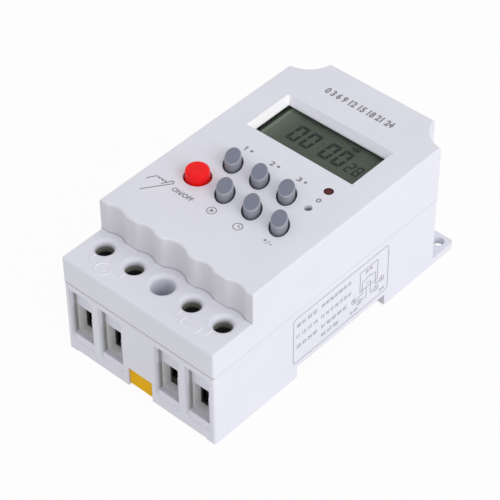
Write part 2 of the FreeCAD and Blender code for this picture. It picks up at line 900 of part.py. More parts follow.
def terminal_screw(x):
    """A slotted screw that stands just above its bar, held in under the cover's tube."""
    shank = rod(x, screw_line, bar_underside + bar_thickness + screw_foot_gap, screw_head_low, screw_radius)
    head = rod(x, screw_line, screw_head_low, screw_head_top, screw_head_radius)
    head = head.makeChamfer(screw_head_bevel, edges_at_height(head, screw_head_top))
    slot = mid_box(x, screw_line, screw_slot_width, 2 * screw_head_radius + past,
                   screw_head_top - screw_slot_depth, screw_head_top + past)
    return joined(shank, head).cut(slot)


def clamp_cage(x):
    """A square cage round the bar, with the screw's hole in its thick top wall; it is shown fully down."""
    outside = mid_box(x, screw_line, cage_width, cage_length, cage_floor, cage_top)
    inside = mid_box(x, screw_line, cage_width - 2 * cage_wall, cage_length + past, cage_inner_low,
                     cage_inner_high)
    hole = rod(x, screw_line, cage_inner_high - past, cage_top + past, screw_radius + thread_clearance)
    return outside.cut(inside).cut(hole)


def terminal_bar(x):
    """A copper strip from its cage, over the terminal's back wall and down to a foot on the power board."""
    near = screw_line - cage_length / 2 + bar_inset
    leg = power_board_start + bar_leg_inset
    half = bar_width / 2
    flat = box(x - half, x + half, near, leg + bar_thickness, bar_underside, bar_underside + bar_thickness)
    drop = box(x - half, x + half, leg, leg + bar_thickness, power_board_top, bar_underside)
    foot = box(x - half, x + half, leg, leg + bar_foot, power_board_top, power_board_top + bar_thickness)
    return joined(flat, drop, foot)


def board(width, near, far, low, posts):
    """A circuit board drilled over its posts."""
    sheet = box(-width / 2, width / 2, near, far, low, low + board_thickness)
    hole_radius = board_screw_radius + board_hole_gap
    return sheet.cut([rod(x, y, low - past, low + board_thickness + past, hole_radius)
                      for x, y in posts])


def power_board():
    return board(power_board_width, power_board_start, power_board_end, power_board_bottom, power_posts())


def display_board():
    return board(display_board_width, display_board_start, display_board_end, display_board_bottom,
                 display_posts())


def small_screw(x, y, seat, up, radius, head_radius, head_height, length):
    """A cross-head screw whose head lies on one side of its seat, up or down, and its shank on the other."""
    side = 1 if up else -1
    head = rod(x, y, min(seat, seat + side * head_height), max(seat, seat + side * head_height), head_radius)
    shank = rod(x, y, min(seat, seat - side * length), max(seat, seat - side * length), radius)
    face = seat + side * head_height
    low, high = sorted((face - side * cross_depth, face + side * past))
    cross = [mid_box(x, y, cross_width, cross_span * head_radius, low, high),
             mid_box(x, y, cross_span * head_radius, cross_width, low, high)]
    return joined(head, shank).cut(cross)


def board_screws():
    size = (board_screw_radius, board_screw_head_radius, board_screw_head_height, board_screw_length)
    screws = [small_screw(x, y, power_board_top, True, *size) for x, y in power_posts()]
    screws += [small_screw(x, y, display_board_bottom, False, *size) for x, y in display_posts()]
    return Part.makeCompound(screws)


def casing_screws():
    length = casing_socket_top + casing_screw_bite - casing_seat
    return Part.makeCompound([small_screw(x, y, casing_seat, False, casing_screw_radius, casing_head_radius,
                                          casing_head_height, length) for x, y in casing_screw_places()])


def microcontroller():
    """A square chip hung under the display board, with a row of leads on each side."""
    low = display_board_bottom - controller_height
    chip = mid_box(controller_x, controller_y, controller_size, controller_size, low,
                   display_board_bottom - lead_height / 2)
    first = -(leads_per_side - 1) / 2
    leads = []
    for number in range(leads_per_side):
        along = (first + number) * lead_pitch
        for side in (-1, 1):
            out = side * (controller_size + lead_length) / 2
            leads.append(mid_box(controller_x + out, controller_y + along, lead_length, lead_width,
                                 display_board_bottom - lead_height, display_board_bottom))
            leads.append(mid_box(controller_x + along, controller_y + out, lead_width, lead_length,
                                 display_board_bottom - lead_height, display_board_bottom))
    return joined(chip, *leads)


def clock_crystal():
    """A small can lying against the underside of the display board."""
    near_end = at(crystal_x - crystal_length / 2, crystal_y, display_board_bottom - crystal_radius)
    return Part.makeCylinder(crystal_radius, crystal_length, near_end, Vector(1, 0, 0))


def backup_battery():
    high = display_board_bottom - battery_play
    return rod(battery_x, battery_y, high - battery_height, high, battery_radius)


def battery_clip():
    """A cup with a slotted floor that holds the cell against the board."""
    floor = display_board_bottom - 2 * battery_play - battery_height
    inside = battery_radius + battery_play
    under = floor - battery_clip_wall
    cup = rod(battery_x, battery_y, under, display_board_bottom, inside + battery_clip_wall)
    room = rod(battery_x, battery_y, floor, display_board_bottom + past, inside)
    slot = mid_box(battery_x, battery_y, battery_slot_width, 2 * inside, under - past, floor + past)
    return cup.cut([room, slot])


def moulded_block(x, y, width, length, height):
    """A rounded component that stands on the power board."""
    block = mid_box(x, y, width, length, power_board_top, power_board_top + height)
    block = block.makeFillet(component_round, upright_edges(block))
    return block.makeFillet(component_round / 2, edges_at_height(block, power_board_top + height))


def smoothing_capacitor():
    """An upright can with a crossed vent pressed into its top."""
    top = power_board_top + smoothing_height
    can = rod(smoothing_x, smoothing_y, power_board_top, top, smoothing_radius)
    can = can.makeFillet(component_round / 2, edges_at_height(can, top))
    vent = [mid_box(smoothing_x, smoothing_y, smoothing_radius, vent_width, top - vent_width, top + past),
            mid_box(smoothing_x, smoothing_y, vent_width, smoothing_radius, top - vent_width, top + past)]
    return can.cut(vent)


def varistor():
    """A dipped disc that stands on two legs."""
    height = power_board_top + varistor_lift + varistor_radius
    near_face = at(varistor_x, varistor_y - varistor_thickness / 2, height)
    disc = Part.makeCylinder(varistor_radius, varistor_thickness, near_face, Vector(0, 1, 0))
    disc = disc.makeFillet(component_round, [e for e in disc.Edges if e.Curve.TypeId == "Part::GeomCircle"])
    legs = [rod(varistor_x + side * varistor_radius / 2, varistor_y, power_board_top, height, wire_radius)
            for side in (-1, 1)]
    return joined(disc, *legs)


def rectifier_diodes():
    """A row of lying diodes, each on two flat legs."""
    return Part.makeCompound([diode(diode_x + number * diode_pitch) for number in range(diode_count)])


def diode(x):
    """A round body on a straight wire, turned in one piece, with a leg under each end of the wire."""
    height = power_board_top + diode_lift + diode_radius
    reach = diode_length / 2 + diode_lead
    outline = []
    for along, radius in ((-reach, 0), (-reach, wire_radius), (-diode_length / 2, wire_radius),
                          (-diode_length / 2, diode_radius), (diode_length / 2, diode_radius),
                          (diode_length / 2, wire_radius), (reach, wire_radius), (reach, 0)):
        outline.append(at(x, diode_y + along, height + radius))
    face = Part.Face(Part.makePolygon(outline + outline[:1]))
    body = face.revolve(at(x, diode_y, height), Vector(0, 1, 0), 360)
    legs = [mid_box(x, diode_y + side * (reach - diode_leg), diode_leg, diode_leg, power_board_top, height)
            for side in (-1, 1)]
    return joined(body, *legs)


def ribbon_cable():
    """Six wires side by side between the two boards, joined by a thin web."""
    pitch = ribbon_width / ribbon_wires
    first = ribbon_y - (ribbon_wires - 1) / 2 * pitch
    web = mid_box(ribbon_x, ribbon_y, ribbon_thickness / 2, ribbon_width - pitch, power_board_top,
                  display_board_bottom)
    wires = [rod(ribbon_x, first + number * pitch, power_board_top, display_board_bottom,
                 ribbon_thickness / 2) for number in range(ribbon_wires)]
    return joined(web, *wires)


def build():
    write("top_cover", top_cover())
    write("base", base())
    write("display_window", display_window())
    write("lcd_cell", lcd_cell())
    write("lcd_holder", lcd_holder())
    write("zebra_strip_near", zebra_strip(-1))
    write("zebra_strip_far", zebra_strip(1))
    places = key_places()
    for name, (x, y) in places.items():
        write(name + "_key", oval_key(x, y))
    write("manual_button", manual_button())
    write("reset_pin", reset_pin())
    places["manual"] = (button_x, button_y)
    places["reset"] = (reset_x, reset_y)
    for name, (x, y) in places.items():
        write(name + "_switch", push_switch(x, y))
        write(name + "_plunger", switch_plunger(x, y))
    write("status_led", status_led())
    write("rail_clip", rail_clip())
    write("clip_spring", clip_spring())
    for number, x in enumerate(terminals, 1):
        write("terminal_screw_%d" % number, terminal_screw(x))
        write("clamp_cage_%d" % number, clamp_cage(x))
        write("terminal_bar_%d" % number, terminal_bar(x))
    write("display_board", display_board())
    write("power_board", power_board())
    write("microcontroller", microcontroller())
    write("clock_crystal", clock_crystal())
    write("backup_battery", backup_battery())
    write("battery_clip", battery_clip())
    write("power_relay", moulded_block(relay_x, relay_y, relay_width, relay_length, relay_height))
    dropper = moulded_block(dropper_x, dropper_y, dropper_width, dropper_length, dropper_height)
    write("dropper_capacitor", dropper)
    write("smoothing_capacitor", smoothing_capacitor())
    write("varistor", varistor())
    write("rectifier_diodes", rectifier_diodes())
    write("ribbon_cable", ribbon_cable())
    write("casing_screws", casing_screws())
    write("board_screws", board_screws())


build()
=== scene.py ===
import math

import bmesh
import bpy
from mathutils import Matrix, Vector


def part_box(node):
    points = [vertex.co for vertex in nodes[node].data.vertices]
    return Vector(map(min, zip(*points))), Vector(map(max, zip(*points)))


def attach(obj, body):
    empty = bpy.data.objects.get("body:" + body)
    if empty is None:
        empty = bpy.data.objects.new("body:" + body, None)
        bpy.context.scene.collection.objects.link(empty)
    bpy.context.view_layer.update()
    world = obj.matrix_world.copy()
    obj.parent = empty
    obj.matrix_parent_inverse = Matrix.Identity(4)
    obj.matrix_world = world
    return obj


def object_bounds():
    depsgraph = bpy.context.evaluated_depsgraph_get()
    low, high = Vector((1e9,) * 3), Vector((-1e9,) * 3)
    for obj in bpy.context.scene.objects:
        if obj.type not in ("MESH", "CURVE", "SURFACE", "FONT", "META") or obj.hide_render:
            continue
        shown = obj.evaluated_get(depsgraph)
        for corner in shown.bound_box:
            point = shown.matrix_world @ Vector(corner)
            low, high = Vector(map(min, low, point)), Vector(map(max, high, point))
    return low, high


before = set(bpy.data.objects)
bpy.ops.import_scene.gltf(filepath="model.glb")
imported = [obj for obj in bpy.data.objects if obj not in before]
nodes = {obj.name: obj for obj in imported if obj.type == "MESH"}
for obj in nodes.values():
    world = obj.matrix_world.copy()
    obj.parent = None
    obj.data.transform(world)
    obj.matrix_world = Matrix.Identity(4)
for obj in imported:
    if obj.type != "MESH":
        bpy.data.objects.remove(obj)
cad_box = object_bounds()

mm = 0.001

# The faces that carry marks, in metres.
near_face = cad_box[0].y
panel_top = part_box("top_cover")[1].z
right_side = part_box("top_cover")[1].x
cell_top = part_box("lcd_cell")[1].z
shroud_top = 40.2 * mm


def middle(node):
    """A node's centre, in millimetres from the middle and the near face."""
    low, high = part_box(node)
    return (low.x + high.x) / 2 / mm, ((low.y + high.y) / 2 - near_face) / mm


# Places where the casing's finish changes, in millimetres from the middle, the near face and the floor.
inner_terminal, screw_line = middle("terminal_screw_3")
outer_terminal = middle("terminal_screw_4")[0]
half_width = right_side / mm
seam_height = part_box("base")[1].z / mm
step_near, step_far = 17.6, 20.8
step_foot, step_head = shroud_top / mm, 52.4
hole_reach = 3.6
hole_foot, hole_black, hole_grey = 31.0, 36.0, 38.6
lamp_reach, lamp_foot = 1.66, 50.0
bezel_half = 22.55
bezel_middle = 86.5
bezel_reach = 10.45
bezel_foot, bezel_head = 49.2, 52.5
entry_half = 4.3
entry_top = 27.3
lip_width = 1.0
lip_end = 1.05
apron_face = 2.4
shadow_start = 5.9
chamber_inner, chamber_outer = 6.3, 30.7
chamber_back, chamber_top, chamber_floor = 19.5, 28.5, 4.7


class Signal:
    """A socket's value, so that shader sums are written as plain expressions."""

    def __init__(self, finish, socket):
        self.finish = finish
        self.socket = socket

    def __add__(self, other):
        return self.finish.maths("ADD", self, other)

    def __radd__(self, other):
        return self.finish.maths("ADD", other, self)

    def __sub__(self, other):
        return self.finish.maths("SUBTRACT", self, other)

    def __rsub__(self, other):
        return self.finish.maths("SUBTRACT", other, self)

    def __mul__(self, other):
        return self.finish.maths("MULTIPLY", self, other)

    def __truediv__(self, other):
        return self.finish.maths("DIVIDE", self, other)

    def __pow__(self, other):
        return self.finish.maths("POWER", self, other)

    def __mod__(self, other):
        return self.finish.maths("FLOORED_MODULO", self, other)

    def __abs__(self):
        return self.finish.maths("ABSOLUTE", self)

    def __gt__(self, other):
        return self.finish.maths("GREATER_THAN", self, other)

    def __lt__(self, other):
        return self.finish.maths("LESS_THAN", self, other)

    def rise(self, low, high):
        """0 up to low, 1 from high, and a soft step between them."""
        return self.finish.node("ShaderNodeMapRange", {"interpolation_type": "SMOOTHSTEP"},
                                {"Value": self, "From Min": low, "From Max": high})

    def between(self, low, high, soft):
        """1 from low to high, with soft steps of the given length just inside them."""
        return self.rise(low, low + soft) * (1 - self.rise(high - soft, high))


class Finish:
    """One material, with the nodes that vary it over the surface."""

    def __init__(self, name, colour, roughness, fixed=None):
        self.material = bpy.data.materials.new(name)
        self.material.use_nodes = True
        self.tree = self.material.node_tree
        self.shader = self.tree.nodes["Principled BSDF"]
        self.colour = (*colour, 1.0)
        self.shader.inputs["Base Color"].default_value = self.colour
        self.shader.inputs["Roughness"].default_value = roughness
        for socket, value in (fixed or {}).items():
            self.shader.inputs[socket].default_value = value
        self.spot = self.node("ShaderNodeTexCoord", {}, {}, "Object")

    def node(self, kind, settings, sockets, output=0):
        """Adds a node: its settings first, then the values or links of its sockets."""
        made = self.tree.nodes.new(kind)
        for key, value in settings.items():
            setattr(made, key, value)
        for key, value in sockets.items():
            if isinstance(value, Signal):
                self.tree.links.new(value.socket, made.inputs[key])
            else:
                made.inputs[key].default_value = value
        return Signal(self, made.outputs[output])

    def maths(self, operation, first, second=0.0):
        """The result of a sum on one or two values."""
        return self.node("ShaderNodeMath", {"operation": operation}, {0: first, 1: second})

    def feed(self, socket, signal):
        """Lets a value drive one socket of the shader."""
        self.tree.links.new(signal.socket, self.shader.inputs[socket])

    def place(self):
        """The point's place in millimetres from the middle, the near face and the floor."""
        parts = [self.node("ShaderNodeSeparateXYZ", {}, {"Vector": self.spot}, axis) for axis in "XYZ"]
        return parts[0] * (1 / mm), (parts[1] - near_face) * (1 / mm), parts[2] * (1 / mm)

    def grain(self, size, detail, stretch=(1, 1, 1)):
        """Cloudy noise from about 0 to 1, with spots of the given size in millimetres."""
        scaled = self.node("ShaderNodeMapping", {}, {"Vector": self.spot, "Scale": stretch})
        return self.node("ShaderNodeTexNoise", {},
                         {"Vector": scaled, "Scale": 1 / (size * mm), "Detail": detail, "Roughness": 0.55})

    def tint(self, colour, amount):
        """Lays another colour over the finish, as strongly as amount says."""
        self.colour = self.node("ShaderNodeMix", {"data_type": "RGBA"},
                                {0: amount, 6: self.colour, 7: (*colour, 1.0)}, 2)
        self.feed("Base Color", self.colour)

    def gloss(self, low, high, amount):
        """Roughness that runs from low to high with amount."""
        self.feed("Roughness", low + amount * (high - low))

    def relief(self, height, depth):
        """Bumps of the given depth in millimetres, from a height of 0 to 1."""
        self.feed("Normal", self.node("ShaderNodeBump", {}, {"Height": height, "Distance": depth * mm}))

    def output(self, shader):
        """Puts another shader in the finish's place."""
        self.tree.links.new(shader.socket, self.tree.nodes["Material Output"].inputs["Surface"])


pale = (0.775, 0.775, 0.86)


def shades(colour, *factors):
    """The colour, darker or lighter by each factor."""
    return [tuple(channel * factor for channel in colour) for factor in factors]


def casing_finish(name, colour=pale, painted_corner_shade=0.0):
    """Pale moulded plastic: a fine spark texture, faint clouds and, if asked, painted shade in the inner
    corners.
    """
    finish = Finish(name, colour, 0.48, {"Specular IOR Level": 0.4})
    clouds = finish.grain(22.0, 3.0)
    specks = finish.grain(0.9, 2.0)
    spark = finish.grain(0.32, 3.0)
    darker, = shades(colour, 0.955)
    finish.tint(darker, clouds.rise(0.35, 0.75) * 0.6 + specks.rise(0.55, 0.8) * 0.35)
    if painted_corner_shade:
        # Painted shade: an occlusion node darkens the inner corners.
        light = finish.node("ShaderNodeAmbientOcclusion", {"samples": 8, "only_local": True},
                            {"Distance": 0.9 * mm}, 1)
        finish.tint((0.33, 0.325, 0.35), (1 - light).rise(0.15, 0.55) * painted_corner_shade)
    finish.gloss(0.40, 0.56, specks * 0.5 + clouds * 0.5)
    finish.relief(spark * 0.7 + specks * 0.3, 0.02)
    return finish


def cover_plastic():
    """The upper casing: painted shade that greys the step wall and darkens its foot, the driver holes and
    the lamp's hole, and painted light on the bezel slopes.
    """
    finish = casing_finish("cover_plastic", pale, 0.7)
    x, y, z = finish.place()
    # Painted shade: the step wall is tinted a darker, less blue grey.
    step = y.between(step_near, step_far, 0.1) * (abs(x) < half_width - 0.2)
    finish.tint((0.70, 0.695, 0.735), step * z.between(step_foot + 0.2, step_head, 0.8))
    # Painted shade in the crease along the foot of the step wall.
    foot_shade = z.rise(step_foot + 0.01, step_foot + 0.08) * (1 - z.rise(step_foot + 0.3, step_foot + 0.7))
    finish.tint((0.42, 0.41, 0.44), step * foot_shade * 0.85)
    # Painted shade inside the driver holes: grey near their mouths, black deeper down.
    inside = 0.0
    for side in (inner_terminal, outer_terminal):
        inside = inside + ((abs(x) - side) ** 2 + (y - screw_line) ** 2 < hole_reach ** 2)
    inside = inside * z.rise(hole_foot, hole_foot + 1.0)
    finish.tint((0.24, 0.245, 0.205), inside * (1 - z.rise(hole_grey - 1.6, hole_grey)))
    finish.tint((0.022, 0.021, 0.016), inside * (1 - z.rise(hole_black - 1.0, hole_black)))
    lamp_x, lamp_y = middle("status_led")
    # Painted shade in the lamp's hole, tinted red as if by the lamp's light.
    lamp_hole_shade = (x - lamp_x) ** 2 + (y - lamp_y) ** 2 < lamp_reach ** 2
    finish.tint((0.10, 0.01, 0.015), lamp_hole_shade * z.rise(lamp_foot, lamp_foot + 0.5))
    within = (abs(x) < bezel_half) * (abs(y - bezel_middle) < bezel_reach)
    slope = within * z.rise(bezel_foot, bezel_foot + 0.1) * (1 - z.rise(bezel_head - 0.15, bezel_head))
    left_foot = 1.6 - bezel_half
    far_foot = bezel_middle + bezel_reach - 1.8
    # Painted light on the bezel slopes: the far slope a little lighter, the left slope nearly white.
    finish.tint((0.86, 0.86, 0.95), slope * y.rise(far_foot, far_foot + 0.1))
    finish.tint((0.97, 0.97, 0.98), slope * (1 - x.rise(left_foot, left_foot + 0.1)))
    return finish


def base_plastic():
    """The lower casing: painted shade along the seam, on and behind the left lips and inside the wire
    entries, and painted light on the walls of their mouths.
    """
    finish = casing_finish("base_plastic")
    specks = finish.grain(0.9, 2.0)
    x, y, z = finish.place()
    front = 1 - y.rise(0.6, 1.0)
    flank = (abs(x) > half_width - 1.0) * y.rise(1.0, 1.4)
    # Painted shade along the seam under the cover's edge, brownish at the front.
    front_seam_shade = front * z.rise(seam_height - 0.9, seam_height - 0.6)
    flank_seam_shade = flank * z.rise(seam_height - 0.8, seam_height - 0.4)
    finish.tint((0.38, 0.36, 0.34), front_seam_shade * (0.55 + specks * 0.3))
    finish.tint((0.60, 0.60, 0.66), flank_seam_shade * 0.6)
    beside = 0.0
    within = 0.0
    for entry in (-outer_terminal, -inner_terminal, inner_terminal, outer_terminal):
        off = entry - x
        within = within + (abs(off) < entry_half + 0.2)
        beside = beside + (off > entry_half - 0.05) * (off < entry_half + lip_width)
    height = z.rise(4.0, 6.5) * (1 - z.rise(entry_top - 0.1, entry_top + 0.1))
    corner = y.between(lip_end - 0.1, apron_face + 0.1, 0.2) * z.rise(7.6, 7.9)
    # Painted shade on the left lips of the wire entries and, darker, in the corner behind them.
    finish.tint((0.60, 0.60, 0.66), beside * height * (1 - y.rise(lip_end - 0.1, lip_end + 0.1)))
    finish.tint((0.36, 0.345, 0.345), beside * height * corner)
    # Painted light: the walls of the entries' mouths are made nearly white against their shade.
    finish.tint((0.97, 0.97, 0.98), within * height * y.between(apron_face, shadow_start, 0.1))
    # Painted shade inside the terminal chambers: dark grey, black further in, lighter grey on their floor.
    across = (abs(x) > chamber_inner) * (abs(x) < chamber_outer)
    along = y.rise(shadow_start, shadow_start + 0.15) * (1 - y.rise(chamber_back - 1.0, chamber_back))
    chamber_shade = across * along * (1 - z.rise(chamber_top - 0.5, chamber_top))
    finish.tint((0.11, 0.11, 0.092), chamber_shade)
    finish.tint((0.012, 0.012, 0.009), chamber_shade * y.rise(shadow_start + 1.3, shadow_start + 2.0))
    finish.tint((0.33, 0.32, 0.31), chamber_shade * (z < chamber_floor))
    return finish


def moulded_finish(name, colour, roughness, grain_size=0.4, depth=0.012, shift=0.88, fixed=None):
    """Dyed plastic with a fine grain, faint clouds and slightly uneven gloss."""
    finish = Finish(name, colour, roughness, fixed)
    clouds = finish.grain(6.0, 3.0)
    grain = finish.grain(grain_size, 3.0)
    darker, = shades(colour, shift)
    finish.tint(darker, clouds.rise(0.3, 0.75) * 0.6 + grain.rise(0.5, 0.85) * 0.4)
    finish.gloss(roughness - 0.07, roughness + 0.07, clouds * 0.6 + grain * 0.4)
    finish.relief(grain, depth)
    return finish


def key_finish():
    """Blue-grey key plastic: a darker top, a painted highlight along the rounded edge and painted shade on
    the sides towards the foot.
    """
    colour = (0.262, 0.270, 0.315)
    finish = Finish("key_grey", colour, 0.46, {"Specular IOR Level": 0.3})
    clouds = finish.grain(3.0, 3.0)
    grain = finish.grain(0.3, 3.0)
    darker, lighter = shades(colour, 0.72, 1.38)
    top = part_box("hour_key")[1].z / mm
    z = finish.place()[2]
    # Painted shade: the sides darken towards the foot, down in the hole.
    finish.tint(darker, 1 - z.rise(panel_top / mm - 0.5, panel_top / mm + 1.8))
    crown = z.rise(top - 0.09, top - 0.03)
    # Painted highlight along the rounded top edge.
    finish.tint(lighter, z.rise(top - 0.75, top - 0.4) * (0.65 + grain * 0.5))
    finish.tint((0.188, 0.200, 0.268), crown * (0.9 + clouds * 0.1))
    finish.gloss(0.38, 0.54, grain * 0.5 + clouds * 0.5)
    finish.relief(grain, 0.012)
    return finish


def metal_finish(name, colour, roughness, size, stretch, tarnish, depth=0.004):
    """Bare or plated metal with drawn lines, uneven gloss and a trace of tarnish."""
    finish = Finish(name, colour, roughness, {"Metallic": 1.0})
    lines = finish.grain(size, 4.0, stretch)
    spots = finish.grain(1.6, 3.0)
    finish.tint(tarnish, spots.rise(0.48, 0.8) * 0.55 + lines * 0.15)
    finish.gloss(roughness - 0.08, roughness + 0.14, lines * 0.6 + spots * 0.4)
    finish.relief(lines, depth)
    return finish


def screw_finish():
    """Zinc plating, turned in rings about each terminal screw, with yellowed spots."""
    finish = Finish("zinc_plated_steel", (0.56, 0.57, 0.58), 0.33, {"Metallic": 1.0})
    x, y = finish.place()[:2]
    pitch = outer_terminal - inner_terminal
    nearest = abs(abs(x) - inner_terminal - pitch / 2) - pitch / 2
    reach = (nearest ** 2 + (y - screw_line) ** 2) ** 0.5
    ring_width = 0.22
    rings = finish.maths("SINE", reach * (2 * math.pi / ring_width)) * 0.5 + 0.5
    spots = finish.grain(1.1, 3.0)
    finish.tint((0.40, 0.37, 0.28), spots.rise(0.45, 0.8) * 0.5)
    finish.gloss(0.26, 0.46, rings * 0.4 + spots * 0.6)
    finish.relief(rings * 0.6 + spots * 0.4, 0.004)
    return finish


def glass_cell_finish():
    """The display's grey-green polariser, with painted shadow along its left end, a painted reflection
    streak beside it and painted glare towards the left.
    """
    finish = Finish("display_glass", (0.122, 0.139, 0.119), 0.34, {"Specular IOR Level": 0.25})
    clouds = finish.grain(9.0, 3.0)
    fine = finish.grain(0.22, 2.0)
    x = finish.place()[0]
    finish.tint((0.094, 0.110, 0.094), clouds.rise(0.3, 0.8) * 0.6 + fine * 0.2)
    # Painted reflection: the polariser is lighter towards its left end, faintly towards its right.
    finish.tint((0.20, 0.23, 0.19), (1 - x.rise(-20.0, -12.5)) * 0.8 + x.rise(8.0, 20.0) * 0.12)
    left_shadow_edge = -19.9
    reflection_streak = -19.3
    # Painted shadow along the left end of the cell.
    finish.tint((0.060, 0.068, 0.056), 1 - x.rise(left_shadow_edge - 0.5, left_shadow_edge))
    finish.tint((0.030, 0.034, 0.028), 1 - x.rise(left_shadow_edge - 1.6, left_shadow_edge - 1.1))
    # Painted reflection: a pale streak near the left end.
    finish.tint((0.27, 0.31, 0.26), 1 - abs(x - reflection_streak).rise(0.25, 0.75))
    finish.gloss(0.26, 0.40, clouds)
    finish.relief(fine, 0.002)
    return finish


def window_finish():
    """Clear plastic: see-through, with a faint gloss that grows towards the edge of sight."""
    finish = Finish("clear_window", (0.02, 0.02, 0.02), 0.06)
    haze = finish.grain(5.0, 3.0)
    finish.gloss(0.03, 0.10, haze)
    clear = finish.node("ShaderNodeBsdfTransparent", {}, {"Color": (0.93, 0.95, 0.93, 1)})
    facing = finish.node("ShaderNodeLayerWeight", {}, {"Blend": 0.5}, 1)
    amount = facing ** 5 * 0.9 + haze * 0.01 + 0.02
    shine = Signal(finish, finish.shader.outputs[0])
    finish.output(finish.node("ShaderNodeMixShader", {}, {0: amount, 1: clear, 2: shine}))
    return finish


def lamp_finish():
    """The lamp's dark red tinted resin, glossy, deeper towards its foot."""
    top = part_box("status_led")[1].z / mm
    finish = Finish("lamp_resin", (0.085, 0.004, 0.008), 0.2, {"Specular IOR Level": 0.25})
    cloud = finish.grain(0.9, 3.0)
    z = finish.place()[2]
    finish.tint((0.035, 0.002, 0.004), (1 - z.rise(top - 1.6, top)) * 0.7 + cloud * 0.2)
    finish.gloss(0.08, 0.2, cloud)
    finish.relief(cloud, 0.004)
    return finish


def rubber_strip_finish():
    """The strip's thin black and pale layers, side by side."""
    finish = Finish("layered_rubber", (0.60, 0.58, 0.55), 0.7)
    x = finish.place()[0]
    pitch = 0.18
    layer = x % pitch < pitch / 2
    grain = finish.grain(0.1, 2.0)
    finish.tint((0.015, 0.015, 0.016), layer)
    finish.gloss(0.62, 0.8, grain)
    finish.relief(grain, 0.004)
    return finish


def circuit_board_finish():
    """Green lacquer over copper tracks that run in steps, with a tight glass weave."""
    finish = Finish("lacquered_board", (0.012, 0.085, 0.030), 0.35, {"Coat Weight": 0.25})
    x, y = finish.place()[:2]
    wander = finish.grain(11.0, 1.0)
    across = (x + wander * 9.0) % 2.3 < 0.55
    along = (y + wander * 11.0) % 3.1 < 0.5
    part = finish.grain(14.0, 1.0) > 0.5
    tracks = across * part + along * (1 - part)
    weave = finish.maths("SINE", x * 9.0) * finish.maths("SINE", y * 9.0) * 0.5 + 0.5
    finish.tint((0.03, 0.15, 0.045), tracks)
    finish.tint((0.008, 0.06, 0.02), weave * 0.2)
    finish.gloss(0.28, 0.42, weave)
    finish.relief(tracks * 0.8 + weave * 0.2, 0.03)
    return finish


def ribbon_finish():
    """Grey flat cable, one groove between each two cores, the first core red."""
    low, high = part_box("ribbon_cable")
    cores = 10
    finish = Finish("ribbon_sheath", (0.42, 0.42, 0.44), 0.5)
    y = finish.place()[1]
    first = (low.y - near_face) / mm
    step = (high.y - low.y) / mm / cores
    groove = abs((y - first) % step - step / 2) / (step / 2)
    grain = finish.grain(0.5, 2.0)
    finish.tint((0.30, 0.30, 0.32), groove.rise(0.7, 1.0))
    finish.tint((0.55, 0.03, 0.03), y < first + step)
    finish.gloss(0.42, 0.58, grain)
    finish.relief(1 - groove.rise(0.4, 1.0) + grain * 0.1, 0.06)
    return finish


def sleeve_finish():
    """The smoothing capacitor's shrunk sleeve, with a pale stripe down one side."""
    low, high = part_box("smoothing_capacitor")
    finish = Finish("shrunk_sleeve", (0.012, 0.014, 0.035), 0.3)
    x = finish.place()[0]
    centre = (low.x + high.x) / 2 / mm
    half = (high.x - low.x) / 2 / mm
    stripe = x > centre + half * 0.72
    grain = finish.grain(0.6, 3.0)
    finish.tint((0.55, 0.56, 0.58), stripe)
    finish.gloss(0.22, 0.4, grain)
    finish.relief(grain, 0.01)
    return finish


def ink_finish(name, colour):
    """Printing ink, a little thin and uneven."""
    finish = Finish(name, colour, 0.55)
    spots = finish.grain(0.28, 3.0)
    patches = finish.grain(2.5, 2.0)
    thinner, = shades(colour, 1.25)
    finish.tint(thinner, spots.rise(0.5, 0.8) * 0.6 + patches * 0.25)
    finish.gloss(0.48, 0.62, spots)
    finish.relief(spots, 0.004)
    return finish


def dress(finish, names):
    """Gives the finish to the frame's nodes of these names."""
    for name in names:
        for holder in nodes[name].material_slots:
            holder.material = finish.material


def named(ending):
    return [name for name in nodes if name.endswith(ending)]


def each_terminal(name):
    return ["%s_%d" % (name, number) for number in (1, 2, 3, 4)]


dress(cover_plastic(), ["top_cover"])
dress(base_plastic(), ["base"])
dress(key_finish(), named("_key") + ["reset_pin"])
dress(moulded_finish("button_red", (0.97, 0.010, 0.012), 0.36, 0.35, 0.008, 0.93,
                     {"Specular IOR Level": 0.15}), ["manual_button"])
dress(moulded_finish("clip_yellow", (0.90, 0.50, 0.002), 0.40, 0.4, 0.012, 0.9,
                     {"Specular IOR Level": 0.05}), ["rail_clip"])
dress(window_finish(), ["display_window"])
dress(glass_cell_finish(), ["lcd_cell"])
dress(moulded_finish("holder_black", (0.016, 0.016, 0.018), 0.5), ["lcd_holder"] + named("_switch"))
dress(moulded_finish("plunger_ivory", (0.55, 0.50, 0.40), 0.42, 0.2, 0.006), named("_plunger"))
dress(rubber_strip_finish(), ["zebra_strip_near", "zebra_strip_far"])
dress(lamp_finish(), ["status_led"])
dress(metal_finish("spring_steel", (0.50, 0.50, 0.52), 0.3, 0.15, (1, 6, 1), (0.25, 0.22, 0.2)),
      ["clip_spring"])
dress(screw_finish(), ["casing_screws", "board_screws"] + each_terminal("terminal_screw"))
dress(metal_finish("cage_steel", (0.20, 0.195, 0.16), 0.40, 0.2, (1, 1, 5), (0.11, 0.10, 0.07), 0.006),
      each_terminal("clamp_cage"))
dress(metal_finish("rolled_copper", (0.86, 0.42, 0.26), 0.3, 0.2, (1, 5, 1), (0.45, 0.18, 0.10)),
      each_terminal("terminal_bar"))
dress(circuit_board_finish(), ["display_board", "power_board"])
dress(moulded_finish("chip_resin", (0.022, 0.022, 0.024), 0.62, 0.25, 0.015),
      ["microcontroller", "rectifier_diodes"])
dress(metal_finish("bright_can", (0.72, 0.72, 0.72), 0.2, 0.3, (1, 4, 1), (0.5, 0.5, 0.5)),
      ["clock_crystal", "backup_battery"])
